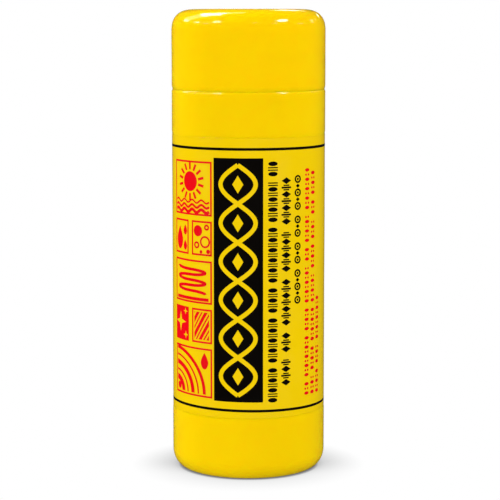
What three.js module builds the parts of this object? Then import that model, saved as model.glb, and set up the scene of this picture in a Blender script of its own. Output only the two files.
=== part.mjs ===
// A synthetic chamois cloth in the plastic canister that keeps it damp.
// The cloth is folded once along its length, rolled up and stood in a blow-moulded canister,
// which a push-on cap closes. A printed film is wrapped round the canister's recessed panel.
// Millimetres, +Z up, the origin at the middle of the base, the front of the label at -Y.
import * as THREE from "three";

// The cloth as it is cut, and how it is folded and rolled.
const SHEET_LENGTH = 660;
const SHEET_WIDTH = 430;
const SHEET_THICKNESS = 2;
const LEAF_GAP = 0.45; // between the two leaves at their free edges
const TURN_GAP = 0.46; // between one turn of the roll and the next
const EYE_RADIUS = 1.6; // the hole that the roll leaves at its middle
const FOLD_OFFSET = 1.4; // how much lower one free edge stands than the other
const CLOTH_SEAT = 0.3; // clearance under the roll

// The canister.
const BODY_WALL = 1.5;
const FLOOR_WALL = 1.5;
const PUSH_UP = 1.8; // how far the middle of the base is pushed in
const PUSH_UP_SLOPE = 4.5; // how wide the slope round that hollow is
const FOOT_WIDTH = 3; // the flat ring that the canister stands on
const BASE_CORNER_ACROSS = 6.9;
const BASE_CORNER_UP = 8.9;
const LOWER_BAND = 30.2; // from the base to the label's panel
const UPPER_BAND = 20.6; // from the label's panel to the shoulder
const SHOULDER_RADIUS = 1.2;

// The neck, with a seal bead low down and a snap bead near its lip.
const NECK_HEIGHT = 21.7;
const NECK_WALL = 1.4;
const NECK_ROOT = 0.4; // fillet where the neck meets the shoulder
const ROLL_CLEARANCE = 0.56; // round the roll as it passes the neck
const BEAD_HEIGHT = 0.45;
const BEAD_WIDTH = 2.4;
const SEAL_BEAD_UP = 5.2; // middle of the seal bead above the shoulder
const SNAP_BEAD_DOWN = 4.6; // middle of the snap bead below the lip

// The cap.
const CAP_HEIGHT = 39.4;
const CAP_WALL = 1.6;
const CROWN_WALL = 1.6;
const CROWN_RISE = 0.3; // how far the crown is domed
const CROWN_ACROSS = 12;
const CROWN_UP = 11;
const CROWN_EXPONENT = 2.6; // squarer than an ellipse
const RIM_BEVEL = 0.75;
const RIM_BEVEL_UP = 1;
const LEAD_IN = 0.25;
const LEAD_IN_UP = 1;
const BEAD_CLEARANCE = 0.15; // between the beads and the cap's bore
const SNAP_GROOVE_DEPTH = 0.35;
const SNAP_GROOVE_WIDTH = 3.2;
const SEAM_GAP = 0.3; // between the cap's rim and the shoulder
const HEADROOM = 4.5; // above the cloth, inside the crown

// The label.
const FILM_THICKNESS = 0.18;
const FILM_GAP = 0.1; // the film's adhesive
const FILM_SHY = 0.07; // how far the film lies below the canister's surface
const FILM_MARGIN = 0.5; // between the film's edge and the panel's
const PANEL_STEP = 0.4; // height of the slope at the panel's edge
const FILM_SEAM = 2; // the open strip at the back, where the film's ends nearly meet

// How finely the round forms are faceted.
const SIDES = 64;
const CORNER_STEPS = 7;
const FILLET_STEPS = 3;
const BEAD_STEPS = 4;
const DOME_STEPS = 4;
const TURN_STEPS = 26;
const SHORTEST_STEP = 0.05; // the least share of a step that the roll may end with

// The roll: its leaves, its pitch and its reach.
const halfSpine = SHEET_THICKNESS + LEAF_GAP / 2;
const foldArc = (Math.PI * (SHEET_THICKNESS + LEAF_GAP)) / 2;
const meanLeaf = (SHEET_WIDTH - foldArc) / 2 + halfSpine;
const tallLeaf = meanLeaf + FOLD_OFFSET / 2;
const shortLeaf = meanLeaf - FOLD_OFFSET / 2;
const pitch = 2 * SHEET_THICKNESS + LEAF_GAP + TURN_GAP;
const firstRadius = EYE_RADIUS + halfSpine;
const lastRadius = Math.sqrt(firstRadius ** 2 + (pitch * SHEET_LENGTH) / Math.PI);
const turns = (lastRadius - firstRadius) / pitch;
// The tail makes one side of the roll thicker, so the spiral's centre is set off by a quarter pitch.
const spiralOffset = pitch / 4;
const rollReach = lastRadius + halfSpine - spiralOffset;

// Radii, from the roll outwards.
const neckInner = rollReach + ROLL_CLEARANCE;
const neckOuter = neckInner + NECK_WALL;
const beadRadius = neckOuter + BEAD_HEIGHT;
const capInner = beadRadius + BEAD_CLEARANCE;
const outer = capInner + CAP_WALL;
const bodyInner = outer - BODY_WALL;
const filmOuter = outer - FILM_SHY;
const filmInner = filmOuter - FILM_THICKNESS;
const panel = filmInner - FILM_GAP;
const footOuter = outer - BASE_CORNER_ACROSS;
const footInner = footOuter - FOOT_WIDTH;

// Heights, from the floor upwards.
const floorTop = PUSH_UP + FLOOR_WALL;
const clothBottom = floorTop + CLOTH_SEAT;
const crownUnder = clothBottom + tallLeaf + HEADROOM;
const crownEdge = crownUnder + CROWN_WALL;
const capTop = crownEdge + CROWN_RISE;
const rim = capTop - CAP_HEIGHT;
const shoulder = rim - SEAM_GAP;
const lip = shoulder + NECK_HEIGHT;
const snapBead = lip - SNAP_BEAD_DOWN;
const sealBead = shoulder + SEAL_BEAD_UP;
const panelLow = LOWER_BAND;
const panelHigh = shoulder - UPPER_BAND;

// A material with the colour and gloss of one of the object's surfaces.
function finish(color, roughness) {
  return new THREE.MeshStandardMaterial({ color, roughness, metalness: 0 });
}

// A point of a profile: r from the axis, z up.
function at(r, z) {
  return new THREE.Vector2(r, z);
}

// A rounded corner as a quarter of a superellipse about a centre, from its side to its top,
// or to its bottom where up is negative. An exponent of 2 makes it an ellipse.
function corner({ r, z, across, up, exponent = 2, steps = CORNER_STEPS }) {
  const points = [];
  for (let i = 0; i <= steps; i++) {
    const angle = (i / steps) * (Math.PI / 2);
    const dr = across * Math.cos(angle) ** (2 / exponent);
    const dz = up * Math.sin(angle) ** (2 / exponent);
    points.push(at(r + dr, z + dz));
  }
  return points;
}

// A rounded ring standing proud of a wall of radius r, as a half ellipse from bottom to top.
function bead(r, z, height, width) {
  const curve = new THREE.EllipseCurve(r, z, height, width / 2, -Math.PI / 2, Math.PI / 2);
  return curve.getPoints(BEAD_STEPS);
}

// A closed solid of revolution about Z. The profile runs up the outside and down the inside.
function revolve(profile) {
  return new THREE.LatheGeometry(profile, SIDES).rotateX(Math.PI / 2);
}

// The canister's outside, from the middle of the base to the neck's lip.
function bodyOutside() {
  const baseCorner = { r: footOuter, z: BASE_CORNER_UP, across: BASE_CORNER_ACROSS, up: -BASE_CORNER_UP };
  const shoulderRound = {
    r: outer - SHOULDER_RADIUS,
    z: shoulder - SHOULDER_RADIUS,
    across: SHOULDER_RADIUS,
    up: SHOULDER_RADIUS,
    steps: FILLET_STEPS,
  };
  return [
    at(0, PUSH_UP),
    at(footInner - PUSH_UP_SLOPE, PUSH_UP),
    at(footInner, 0),
    ...corner(baseCorner).reverse(),
    at(outer, panelLow - PANEL_STEP),
    at(panel, panelLow),
    at(panel, panelHigh),
    at(outer, panelHigh + PANEL_STEP),
    ...corner(shoulderRound),
    at(neckOuter + NECK_ROOT, shoulder),
    at(neckOuter, shoulder + NECK_ROOT),
    ...bead(neckOuter, sealBead, BEAD_HEIGHT, BEAD_WIDTH),
    ...bead(neckOuter, snapBead, BEAD_HEIGHT, BEAD_WIDTH),
  ];
}

// The neck's rounded lip, from its outside to its inside.
function neckLip() {
  const half = NECK_WALL / 2;
  return new THREE.EllipseCurve(neckInner + half, lip - half, half, half, 0, Math.PI).getPoints(BEAD_STEPS);
}

// The canister's inside, which follows the outside one wall in, from the neck to the middle of the floor.
function bodyInside() {
  const panelInner = panel - BODY_WALL;
  const baseCorner = {
    r: footOuter,
    z: BASE_CORNER_UP,
    across: BASE_CORNER_ACROSS - BODY_WALL,
    up: FLOOR_WALL - BASE_CORNER_UP,
  };
  return [
    at(neckInner, shoulder - BODY_WALL),
    at(bodyInner, shoulder - BODY_WALL - (bodyInner - neckInner)),
    at(bodyInner, panelHigh + PANEL_STEP),
    at(panelInner, panelHigh),
    at(panelInner, panelLow),
    at(bodyInner, panelLow - PANEL_STEP),
    ...corner(baseCorner),
    at(footInner, FLOOR_WALL),
    at(footInner - PUSH_UP_SLOPE, floorTop),
    at(0, floorTop),
  ];
}

function canisterBody() {
  return revolve([...bodyOutside(), ...neckLip(), ...bodyInside()]);
}

// The crown's shallow dome, from its edge to its middle.
function crownDome() {
  const edge = outer - CROWN_ACROSS;
  const dome = new THREE.QuadraticBezierCurve(at(edge, crownEdge), at(edge / 2, capTop), at(0, capTop));
  return dome.getPoints(DOME_STEPS);
}

// The cap: a domed crown, a skirt with a bevelled rim, and a groove that the snap bead clicks into.
function cap() {
  const underAcross = CROWN_ACROSS - CAP_WALL;
  const underUp = CROWN_UP - CROWN_WALL;
  const grooveHalf = SNAP_GROOVE_WIDTH / 2;
  const crownCorner = {
    r: outer - CROWN_ACROSS,
    z: crownEdge - CROWN_UP,
    across: CROWN_ACROSS,
    up: CROWN_UP,
    exponent: CROWN_EXPONENT,
  };
  const underCorner = { ...crownCorner, across: underAcross, up: underUp };
  return revolve([
    at(0, crownUnder),
    ...corner(underCorner).reverse(),
    at(capInner, snapBead + grooveHalf),
    at(capInner + SNAP_GROOVE_DEPTH, snapBead + grooveHalf / 2),
    at(capInner + SNAP_GROOVE_DEPTH, snapBead - grooveHalf / 2),
    at(capInner, snapBead - grooveHalf),
    at(capInner, rim + LEAD_IN_UP),
    at(capInner + LEAD_IN, rim),
    at(outer - RIM_BEVEL, rim),
    at(outer, rim + RIM_BEVEL_UP),
    ...corner(crownCorner),
    ...crownDome().slice(1),
  ]);
}

// A point on a regular polygon with the same sides as the revolved pieces, at an angle from the front.
function onPolygon(radius, angle) {
  const side = (2 * Math.PI) / SIDES;
  const off = (((angle % side) + side) % side) - side / 2;
  const r = (radius * Math.cos(side / 2)) / Math.cos(off);
  return new THREE.Vector2(r * Math.sin(angle), -r * Math.cos(angle));
}

// The printed film, wrapped round the panel from one side of the seam at the back to the other.
function labelFilm() {
  const side = (2 * Math.PI) / SIDES;
  const halfSeam = FILM_SEAM / 2 / filmOuter;
  const start = -Math.PI + halfSeam;
  const end = Math.PI - halfSeam;
  const angles = [start];
  for (let i = Math.ceil(start / side); i * side < end; i++) angles.push(i * side);
  angles.push(end);
  const outline = new THREE.Shape([
    ...angles.map((angle) => onPolygon(filmOuter, angle)),
    ...angles.map((angle) => onPolygon(filmInner, angle)).reverse(),
  ]);
  const depth = panelHigh - panelLow - 2 * FILM_MARGIN;
  const film = new THREE.ExtrudeGeometry(outline, { depth, bevelEnabled: false });
  return film.translate(0, 0, panelLow + FILM_MARGIN);
}

// The folded cloth across one turn, out from its spine and up from its fold: two leaves with the fold below.
function foldedSection() {
  const foldRound = halfSpine / 2;
  return [
    [halfSpine, tallLeaf],
    [halfSpine, foldRound],
    [0, 0],
    [-halfSpine, foldRound],
    [-halfSpine, shortLeaf],
    [-LEAF_GAP / 2, shortLeaf],
    [0, SHEET_THICKNESS],
    [LEAF_GAP / 2, tallLeaf],
  ].map(([out, up]) => new THREE.Vector2(out, up));
}

// The spiral's angle and radius at each step along the roll. The last step takes what is left over.
function spiralStations() {
  const count = Math.ceil(turns * TURN_STEPS - SHORTEST_STEP);
  const stations = [];
  for (let i = 0; i <= count; i++) {
    const turn = i < count ? i / TURN_STEPS : turns;
    stations.push({ angle: 2 * Math.PI * turn, radius: firstRadius + pitch * turn });
  }
  return stations;
}

// The cloth as one solid: the folded section carried along the spiral, and closed at both ends.
function rolledCloth() {
  const section = foldedSection();
  const stations = spiralStations();
  const size = section.length;
  // The tail points at the angle where the roll is thickest, so the centre moves the other way.
  const tail = 2 * Math.PI * turns;
  const shift = new THREE.Vector2(Math.cos(tail), Math.sin(tail)).multiplyScalar(-spiralOffset);
  const positions = [];
  for (const { angle, radius } of stations)
    for (const p of section) {
      const r = radius + p.x;
      positions.push(r * Math.cos(angle) + shift.x, r * Math.sin(angle) + shift.y, clothBottom + p.y);
    }
  const index = [];
  for (let i = 0; i + 1 < stations.length; i++)
    for (let j = 0; j < size; j++) {
      const a = i * size + j;
      const b = i * size + ((j + 1) % size);
      index.push(a, b, a + size, b, b + size, a + size);
    }
  const last = (stations.length - 1) * size;
  for (const [a, b, c] of THREE.ShapeUtils.triangulateShape(section, [])) {
    index.push(a, b, c);
    index.push(last + a, last + c, last + b);
  }
  const geometry = new THREE.BufferGeometry();
  geometry.setAttribute("position", new THREE.Float32BufferAttribute(positions, 3));
  geometry.setIndex(index);
  geometry.computeVertexNormals();
  return geometry;
}

// The least distance from the corners on the outside of each turn to the facets on the inside of the next.
function leastTurnGap() {
  const stations = spiralStations();
  const point = ({ angle, radius }, out) =>
    new THREE.Vector3((radius + out) * Math.cos(angle), (radius + out) * Math.sin(angle), 0);
  let least = Infinity;
  for (let i = 0; i < stations.length; i++) {
    const corner = point(stations[i], halfSpine);
    for (let j = i + TURN_STEPS / 2; j + 1 < stations.length; j++) {
      const facet = new THREE.Line3(point(stations[j], -halfSpine), point(stations[j + 1], -halfSpine));
      const nearest = facet.closestPointToPoint(corner, true, new THREE.Vector3());
      least = Math.min(least, nearest.distanceTo(corner));
    }
  }
  return least;
}

// One named piece of the object.
function piece(name, geometry, material) {
  const mesh = new THREE.Mesh(geometry, material);
  mesh.name = name;
  return mesh;
}

const yellowPlastic = finish(0xffd400, 0.28);
const printedFilm = finish(0xf4c900, 0.34);
const dampCloth = finish(0xf0dd9a, 0.92);

const canister = new THREE.Group();
canister.add(piece("canister_body", canisterBody(), yellowPlastic));
canister.add(piece("label_film", labelFilm(), printedFilm));

const part = new THREE.Group();
part.add(canister);
part.add(piece("rolled_chamois", rolledCloth(), dampCloth));
part.add(piece("push_on_cap", cap(), yellowPlastic));

console.log(`${(2 * outer).toFixed(1)} mm across and ${capTop.toFixed(1)} mm high`);
console.log(`${turns.toFixed(2)} turns, with ${leastTurnGap().toFixed(2)} mm or more between them`);

export default part;
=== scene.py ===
"""The looks of a rolled chamois cloth and its storage canister, built round the packed part."""

import math
from typing import NamedTuple

import bmesh
import bpy
from bpy.props import FloatProperty, FloatVectorProperty, IntProperty, PointerProperty
from bpy.types import Operator, Panel, PropertyGroup
from mathutils import Matrix, Vector, noise


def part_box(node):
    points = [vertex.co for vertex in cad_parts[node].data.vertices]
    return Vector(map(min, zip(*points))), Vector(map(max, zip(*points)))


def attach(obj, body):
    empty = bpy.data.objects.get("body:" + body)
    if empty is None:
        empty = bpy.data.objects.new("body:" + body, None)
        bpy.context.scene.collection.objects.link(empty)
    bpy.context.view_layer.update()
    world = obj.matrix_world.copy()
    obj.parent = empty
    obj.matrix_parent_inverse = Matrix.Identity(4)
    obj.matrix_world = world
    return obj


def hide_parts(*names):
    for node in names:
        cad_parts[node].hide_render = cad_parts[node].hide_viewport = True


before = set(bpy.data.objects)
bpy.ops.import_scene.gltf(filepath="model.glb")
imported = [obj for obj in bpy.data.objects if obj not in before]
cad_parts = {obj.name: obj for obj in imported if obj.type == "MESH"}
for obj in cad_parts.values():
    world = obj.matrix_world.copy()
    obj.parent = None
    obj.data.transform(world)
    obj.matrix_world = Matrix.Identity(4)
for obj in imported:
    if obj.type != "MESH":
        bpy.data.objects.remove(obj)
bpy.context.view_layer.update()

bl_info = {
    "name": "Chamois Canister",
    "version": (1, 0, 0),
    "blender": (4, 5, 0),
    "location": "View3D > Sidebar > Canister",
    "description": "Models a rolled chamois cloth, its storage canister, cap and printed film",
    "category": "Add Mesh",
}

MM = 0.001
FULL_TURN = 2 * math.pi
HALF_TURN = math.pi
QUARTER_TURN = math.pi / 2
CREASE = math.radians(34)  # edges that turn more than this are drawn sharp
CORNER = math.radians(24)  # corners of a turned profile that turn more than this are softened
WELD = 0.0005 * MM  # points closer than this are merged
ON_PLANE = 0.0001 * MM  # points closer than this to a cutting plane lie on it
TURNED_SIDES = 288  # sides of a turned piece
BODY_WAVE_LENGTH = 28 * MM  # length of the waves in the body's wall, which the film follows
CAP_WAVE_LENGTH = 17 * MM
ROLL_WAVE_LENGTH = 21 * MM

body_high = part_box("canister_body")[1]
film_low, film_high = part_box("label_film")
cloth_low, cloth_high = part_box("rolled_chamois")
cap_low, cap_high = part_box("push_on_cap")


def length(name, description, default):
    """A size in metres that a user can change."""
    return FloatProperty(name=name, description=description, default=default, min=0, unit="LENGTH")


def place_across(name, description, default):
    """A place in metres to the right of the film's front, or to the left if it is negative."""
    return FloatProperty(name=name, description=description, default=default, unit="LENGTH")


def ratio(name, description, default):
    """A plain number that a user can change."""
    return FloatProperty(name=name, description=description, default=default)


def tilt(name, description, default):
    """An angle that a user can change."""
    return FloatProperty(
        name=name, description=description, default=default, subtype="ANGLE", unit="ROTATION"
    )


def count(name, description, default):
    """A whole number that a user can change."""
    return IntProperty(name=name, description=description, default=default, min=1)


def colour(name, description, default):
    """A linear colour that a user can change."""
    return FloatVectorProperty(
        name=name, description=description, default=default, subtype="COLOR", min=0, max=1
    )


class CanisterSizes(PropertyGroup):
    """Sizes of the blow-moulded canister."""

    radius: length("Radius", "Outside radius of the body", body_high.x)
    wall: length("Wall", "Thickness of the body's wall and floor", 1.5 * MM)
    push_up: length("Push-up", "How far the middle of the base is pushed in", 1.8 * MM)
    push_up_slope: length("Push-up slope", "Width of the slope round that hollow", 4.5 * MM)
    foot_width: length("Foot width", "Width of the ring that it stands on", 3 * MM)
    corner_across: length("Corner across", "How far the base corner reaches in", 6.9 * MM)
    corner_up: length("Corner up", "How far the base corner reaches up", 8.9 * MM)
    seam_gap: length("Seam gap", "Gap between the shoulder and the cap's rim", 0.02 * MM)
    shoulder_across: length("Shoulder across", "How far the shoulder's edge is rounded in", 0.5 * MM)
    shoulder_up: length("Shoulder up", "How far that rounding reaches down", 1 * MM)
    shoulder_exponent: ratio("Shoulder exponent", "2 is an ellipse, and less is flatter", 1.3)
    panel_margin: length("Panel margin", "From the film's edge to the panel's edge", 0.25 * MM)
    panel_depth: length("Panel depth", "How deep the label panel lies", 0.17 * MM)
    panel_step: length("Panel step", "Height of the slope at the panel's edge", 1.3 * MM)
    neck_top: length("Neck top", "Height of the neck's lip", body_high.z)
    neck_wall: length("Neck wall", "Thickness of the neck", 1.4 * MM)
    neck_root: length("Neck root", "Fillet between neck and shoulder", 0.4 * MM)
    bead_height: length("Bead height", "How far the beads stand proud of the neck", 0.45 * MM)
    bead_width: length("Bead width", "Width of each bead", 2.4 * MM)
    seal_bead_up: length("Seal bead", "Middle of the seal bead above the shoulder", 5.2 * MM)
    snap_bead_down: length("Snap bead", "Middle of the snap bead below the lip", 4.6 * MM)
    parting_line: length("Parting line", "Height of the ridge that the mould's halves leave", 0.05 * MM)
    parting_width: length("Parting width", "Half the width of that ridge", 0.22 * MM)
    wave: length("Wave", "How far the surface wanders from true round", 0.05 * MM)


class CapSizes(PropertyGroup):
    """Sizes of the push-on cap."""

    wall: length("Wall", "Thickness of the skirt", 1.6 * MM)
    crown_wall: length("Crown wall", "Thickness of the crown", 1.6 * MM)
    crown_rise: length("Crown rise", "How far the crown is domed", 0.3 * MM)
    crown_across: length("Crown across", "How far the crown's corner reaches in", 12 * MM)
    crown_up: length("Crown up", "How far the crown's corner reaches down", 11 * MM)
    crown_exponent: ratio("Crown exponent", "2 is an ellipse, and more is squarer", 2.6)
    rim_lift: length("Rim lift", "How far the drawn rim stands above the packed one", 0.3 * MM)
    rim_across: length("Rim across", "How far the rim is rounded in", 0.5 * MM)
    rim_up: length("Rim up", "How far that rounding reaches up", 2.2 * MM)
    rim_exponent: ratio("Rim exponent", "2 is an ellipse, and less is flatter", 1.3)
    lead_in: length("Lead-in", "How far the mouth is opened", 0.25 * MM)
    lead_in_up: length("Lead-in up", "How far that opening reaches up", 1 * MM)
    bead_clearance: length("Bead clearance", "Gap between the beads and the bore", 0.15 * MM)
    groove_depth: length("Groove depth", "Depth of the snap bead's groove", 0.35 * MM)
    groove_width: length("Groove width", "Width of the snap bead's groove", 3.2 * MM)
    gate_radius: length("Gate radius", "Radius of the mark in the crown's middle", 1.4 * MM)
    gate_depth: length("Gate depth", "Depth of that mark", 0.12 * MM)
    wave: length("Wave", "How far the surface wanders from true round", 0.06 * MM)


class FilmSizes(PropertyGroup):
    """Sizes of the printed film and of the print on it."""

    radius: length("Radius", "Outside radius of the film", film_high.x)
    low: length("Low edge", "Height of the film's lower edge", film_low.z)
    high: length("High edge", "Height of the film's upper edge", film_high.z)
    thickness: length("Thickness", "Thickness of the film", 0.08 * MM)
    lap: length("Lap", "How far one end is glued over the other", 6 * MM)
    lap_rise: length("Lap rise", "How far the over end stands out from the rest", 0.086 * MM)
    ink: length("Ink", "Thickness of a layer of ink", 0.012 * MM)
    wave: length("Wave", "How far the film follows the body from true round", 0.05 * MM)
    ring_width: length("Ring width", "Width of the two black rings", 1.3 * MM)
    top_ring_in: length("Top ring", "From the film's upper edge to the ring's middle", 5.2 * MM)
    low_ring_in: length("Low ring", "From the film's lower edge to the ring's middle", 3.78 * MM)
    art_inset: length("Artwork inset", "From a ring's middle to the artwork", 4.2 * MM)
    panel_left: place_across("Panel left", "Left edge of the black panel", -17.13 * MM)
    panel_width: length("Panel width", "Width of the black panel", 24.15 * MM)
    chain_margin: length("Chain margin", "From the panel's ends to the chain's", 3.2 * MM)
    chain_width: length("Chain width", "Width of the twisted chain on the panel", 19 * MM)
    chain_stroke: length("Chain stroke", "Width of the chain's strands", 2.1 * MM)
    chain_links: count("Chain links", "How many links the chain has", 6)
    tiles_left: place_across("Tiles left", "Left edge of the red tiles", -45.15 * MM)
    tiles_width: length("Tiles width", "Width of the column of red tiles", 27.03 * MM)
    tiles_top_in: length("Tiles top", "From the panel's upper edge to the tiles'", 2 * MM)
    tiles_low_in: length("Tiles foot", "From the panel's lower edge to the tiles'", 0.8 * MM)
    tile_gap: length("Tile gap", "Gap between the tiles", 2.4 * MM)
    line: length("Line", "Width of the red lines", 0.92 * MM)
    skew: length("Skew", "How far the lower edge is turned out of level", 0.5 * MM)


class ClothSizes(PropertyGroup):
    """Sizes of the cloth, folded once and rolled."""

    sheet_length: length("Sheet length", "Length of the flat sheet", 660 * MM)
    sheet_width: length("Sheet width", "Width of the flat sheet", 430 * MM)
    thickness: length("Thickness", "Thickness of the sheet", 2 * MM)
    leaf_gap: length("Leaf gap", "Gap between the two leaves", 0.45 * MM)
    turn_gap: length("Turn gap", "Gap between the turns", 0.46 * MM)
    eye: length("Eye", "Radius of the hole in the middle", 1.6 * MM)
    fold_offset: length("Fold offset", "How much lower the inner leaf's edge stands", 1.4 * MM)
    edge_round: length("Edge round", "Rounding of the cut edges", 0.35 * MM)
    wander: length("Wander", "How far the roll wanders from true round", 0.22 * MM)
    ragged: length("Ragged", "How far the free edges rise and fall", 0.7 * MM)


class Finishes(PropertyGroup):
    """Colours of the plastic, film, inks and cloth."""

    body: colour("Canister", "Yellow of the canister", (0.895, 0.612, 0.0))
    cap: colour("Cap", "Yellow of the cap", (0.97, 0.615, 0.0))
    film: colour("Film", "Yellow printed on the film", (0.81, 0.548, 0.0))
    black_ink: colour("Black ink", "Black printed on the film", (0.0022, 0.0016, 0.0012))
    red_ink: colour("Red ink", "Red printed on the film", (0.66, 0.001, 0.005))
    cloth: colour("Cloth", "Colour of the cloth", (0.80, 0.60, 0.22))
    # A darker colour painted into the cloth's pores, as shade inside those small hollows.
    cloth_pore_shade: colour("Cloth pores", "Colour inside the cloth's pores", (0.56, 0.36, 0.10))


# Meshes


def rounded(r, z, across, up, exponent=2.0, steps=10):
    """A corner's points from its side to its top, or to its bottom where up is negative."""
    points = []
    for i in range(steps + 1):
        angle = i / steps * QUARTER_TURN
        dr = across * math.cos(angle) ** (2 / exponent)
        dz = up * math.sin(angle) ** (2 / exponent)
        points.append((r + dr, z + dz))
    return points


def bead(r, z, height, width, steps=10):
    """A half ellipse standing proud of a wall, from its bottom to its top."""
    angles = [HALF_TURN * (i / steps - 0.5) for i in range(steps + 1)]
    return [(r + height * math.cos(a), z + width / 2 * math.sin(a)) for a in angles]


def everything(bm):
    """All parts of a mesh, as most operators take them."""
    return bm.verts[:] + bm.edges[:] + bm.faces[:]


def lathe(profile, row=3 * MM, soft=0.12 * MM):
    """A solid of revolution about Z from the points (r, z) of half its section."""
    bm = bmesh.new()
    verts = [bm.verts.new((0, -r, z)) for r, z in profile]
    for pair in zip(verts, verts[1:]):
        bm.edges.new(pair)
    soften(bm, verts[1:-1], soft)
    for edge in bm.edges[:]:
        cuts = int(edge.calc_length() / row)
        if cuts:
            bmesh.ops.subdivide_edges(bm, edges=[edge], cuts=cuts)
    bmesh.ops.spin(
        bm,
        geom=bm.verts[:] + bm.edges[:],
        cent=(0, 0, 0),
        axis=(0, 0, 1),
        dvec=(0, 0, 0),
        angle=QUARTER_TURN,
        steps=TURNED_SIDES // 4,
    )
    for axis in "XY":
        bmesh.ops.mirror(bm, geom=everything(bm), axis=axis, merge_dist=WELD)
    bmesh.ops.remove_doubles(bm, verts=bm.verts, dist=WELD)
    bmesh.ops.recalc_face_normals(bm, faces=bm.faces)
    bm.normal_update()
    return bm


def soften(bm, verts, radius):
    """Rounds the sharp corners of a profile."""
    sharp = []
    for vert in verts:
        first, second = (edge.other_vert(vert).co - vert.co for edge in vert.link_edges)
        if HALF_TURN - first.angle(second) > CORNER:
            sharp.append(vert)
    bmesh.ops.bevel(
        bm,
        geom=sharp,
        offset=radius,
        offset_type="OFFSET",
        segments=3,
        profile=0.5,
        affect="VERTICES",
        clamp_overlap=True,
        material=-1,
    )


def wander(bm, amount, size):
    """Moves a round shape's surface in and out by a smooth noise of that amount and size."""
    for vert in bm.verts:
        radial = Vector((vert.co.x, vert.co.y, 0))
        if radial.length > size / 100:
            vert.co += radial.normalized() * amount * noise.noise(vert.co / size)


def slab(section, steps, run):
    """A closed bar of the section's points (y, z), drawn along X from 0 to run."""
    bm = bmesh.new()
    around = len(section)
    bmesh.ops.create_grid(bm, x_segments=steps, y_segments=around, size=0.5)
    for vert in bm.verts:
        y, z = section[round((vert.co.y + 0.5) * around) % around]
        vert.co = ((vert.co.x + 0.5) * run, y, z)
    bmesh.ops.remove_doubles(bm, verts=bm.verts, dist=WELD)
    bmesh.ops.holes_fill(bm, edges=[edge for edge in bm.edges if edge.is_boundary])
    return bm


def lay_down(bm, made, x, y, across=1.0, up=1.0, turn=0.0):
    """Scales a flat shape, turns it and moves its middle to (x, y)."""
    bmesh.ops.scale(bm, verts=made, vec=(across, up, 1))
    bmesh.ops.rotate(bm, verts=made, cent=(0, 0, 0), matrix=Matrix.Rotation(turn, 3, "Z"))
    bmesh.ops.translate(bm, verts=made, vec=(x, y, 0))
    return made


def flat_disc(bm, x, y, rx, ry, sides=20):
    """A flat ellipse about its middle."""
    made = bmesh.ops.create_circle(bm, cap_ends=True, radius=1, segments=sides)["verts"]
    return lay_down(bm, made, x, y, rx, ry)


def flat_bar(bm, x, y, width, height, turn=0.0):
    """A flat rectangle about its middle."""
    made = bmesh.ops.create_grid(bm, x_segments=1, y_segments=1, size=0.5)["verts"]
    return lay_down(bm, made, x, y, width, height, turn)


def flat_lozenge(bm, x, y, width, height):
    """A flat lozenge about its middle."""
    return flat_disc(bm, x, y, width / 2, height / 2, sides=4)


def flat_drop(bm, x, y, width, height, sides=28):
    """A flat drop, with its point at the top."""
    belly, taper, fullness = 0.4, 0.55, 1.35
    made = flat_disc(bm, 0, 0, 1, 1, sides)
    for vert in made:
        up = (vert.co.y + 1) / 2
        if up > belly:
            vert.co.x *= (1 - up) ** taper * fullness
    return lay_down(bm, made, x, y, width / 2, height / 2)


def flat_star(bm, x, y, radius, points=4, waist=0.3):
    """A flat star about its middle."""
    made = flat_disc(bm, 0, 0, radius, radius, 2 * points)
    for i, vert in enumerate(made):
        if i % 2:
            vert.co *= waist
    return lay_down(bm, made, x, y)


def flat_stroke(bm, route, width, steps):
    """A flat strand of even width along a route, a function from 0..1 to a point (x, y)."""
    made = bmesh.ops.create_grid(bm, x_segments=steps, y_segments=1, size=0.5)["verts"]
    reach = 0.5 / steps
    for vert in made:
        t = vert.co.x + 0.5
        side = vert.co.y * width
        here = Vector(route(t))
        ahead = Vector(route(t + reach)) - Vector(route(t - reach))
        ahead.normalize()
        vert.co = (here.x - ahead.y * side, here.y + ahead.x * side, 0)
    return made


def hollow(bm, verts, width):
    """Leaves only an outline of that width of a flat shape."""
    faces = list({face for vert in verts for face in vert.link_faces})
    bmesh.ops.inset_region(bm, faces=faces, thickness=width, use_even_offset=True, use_boundary=True)
    bmesh.ops.delete(bm, geom=faces, context="FACES_ONLY")


def trim(bm, verts, left, right, low, high):
    """Cuts a flat shape off at a rectangle's four sides."""
    sides = (
        ((left, 0, 0), (-1, 0, 0)),
        ((right, 0, 0), (1, 0, 0)),
        ((0, low, 0), (0, -1, 0)),
        ((0, high, 0), (0, 1, 0)),
    )
    kept = {face for vert in verts for face in vert.link_faces}
    for place, outwards in sides:
        parts = {part for face in kept for part in (face, *face.edges, *face.verts)}
        cut = bmesh.ops.bisect_plane(
            bm, geom=list(parts), plane_co=place, plane_no=outwards, clear_outer=True, dist=ON_PLANE
        )
        kept = {part for part in cut["geom"] if part.is_valid and isinstance(part, bmesh.types.BMFace)}


def cut_through(bm, place, normal):
    """Adds edges where a plane crosses a mesh."""
    bmesh.ops.bisect_plane(bm, geom=everything(bm), plane_co=place, plane_no=normal, dist=ON_PLANE)


def lap_rise(s, angle):
    """How far the film's over end stands out, at an angle from the front."""
    half_lap = s.lap / 2 / s.radius
    from_start = angle % FULL_TURN - HALF_TURN + 2 * half_lap
    if not 0 < from_start <= 3 * half_lap:
        return 0
    share = min(from_start / half_lap, 1)
    return s.lap_rise * share * share * (3 - 2 * share)


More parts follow.
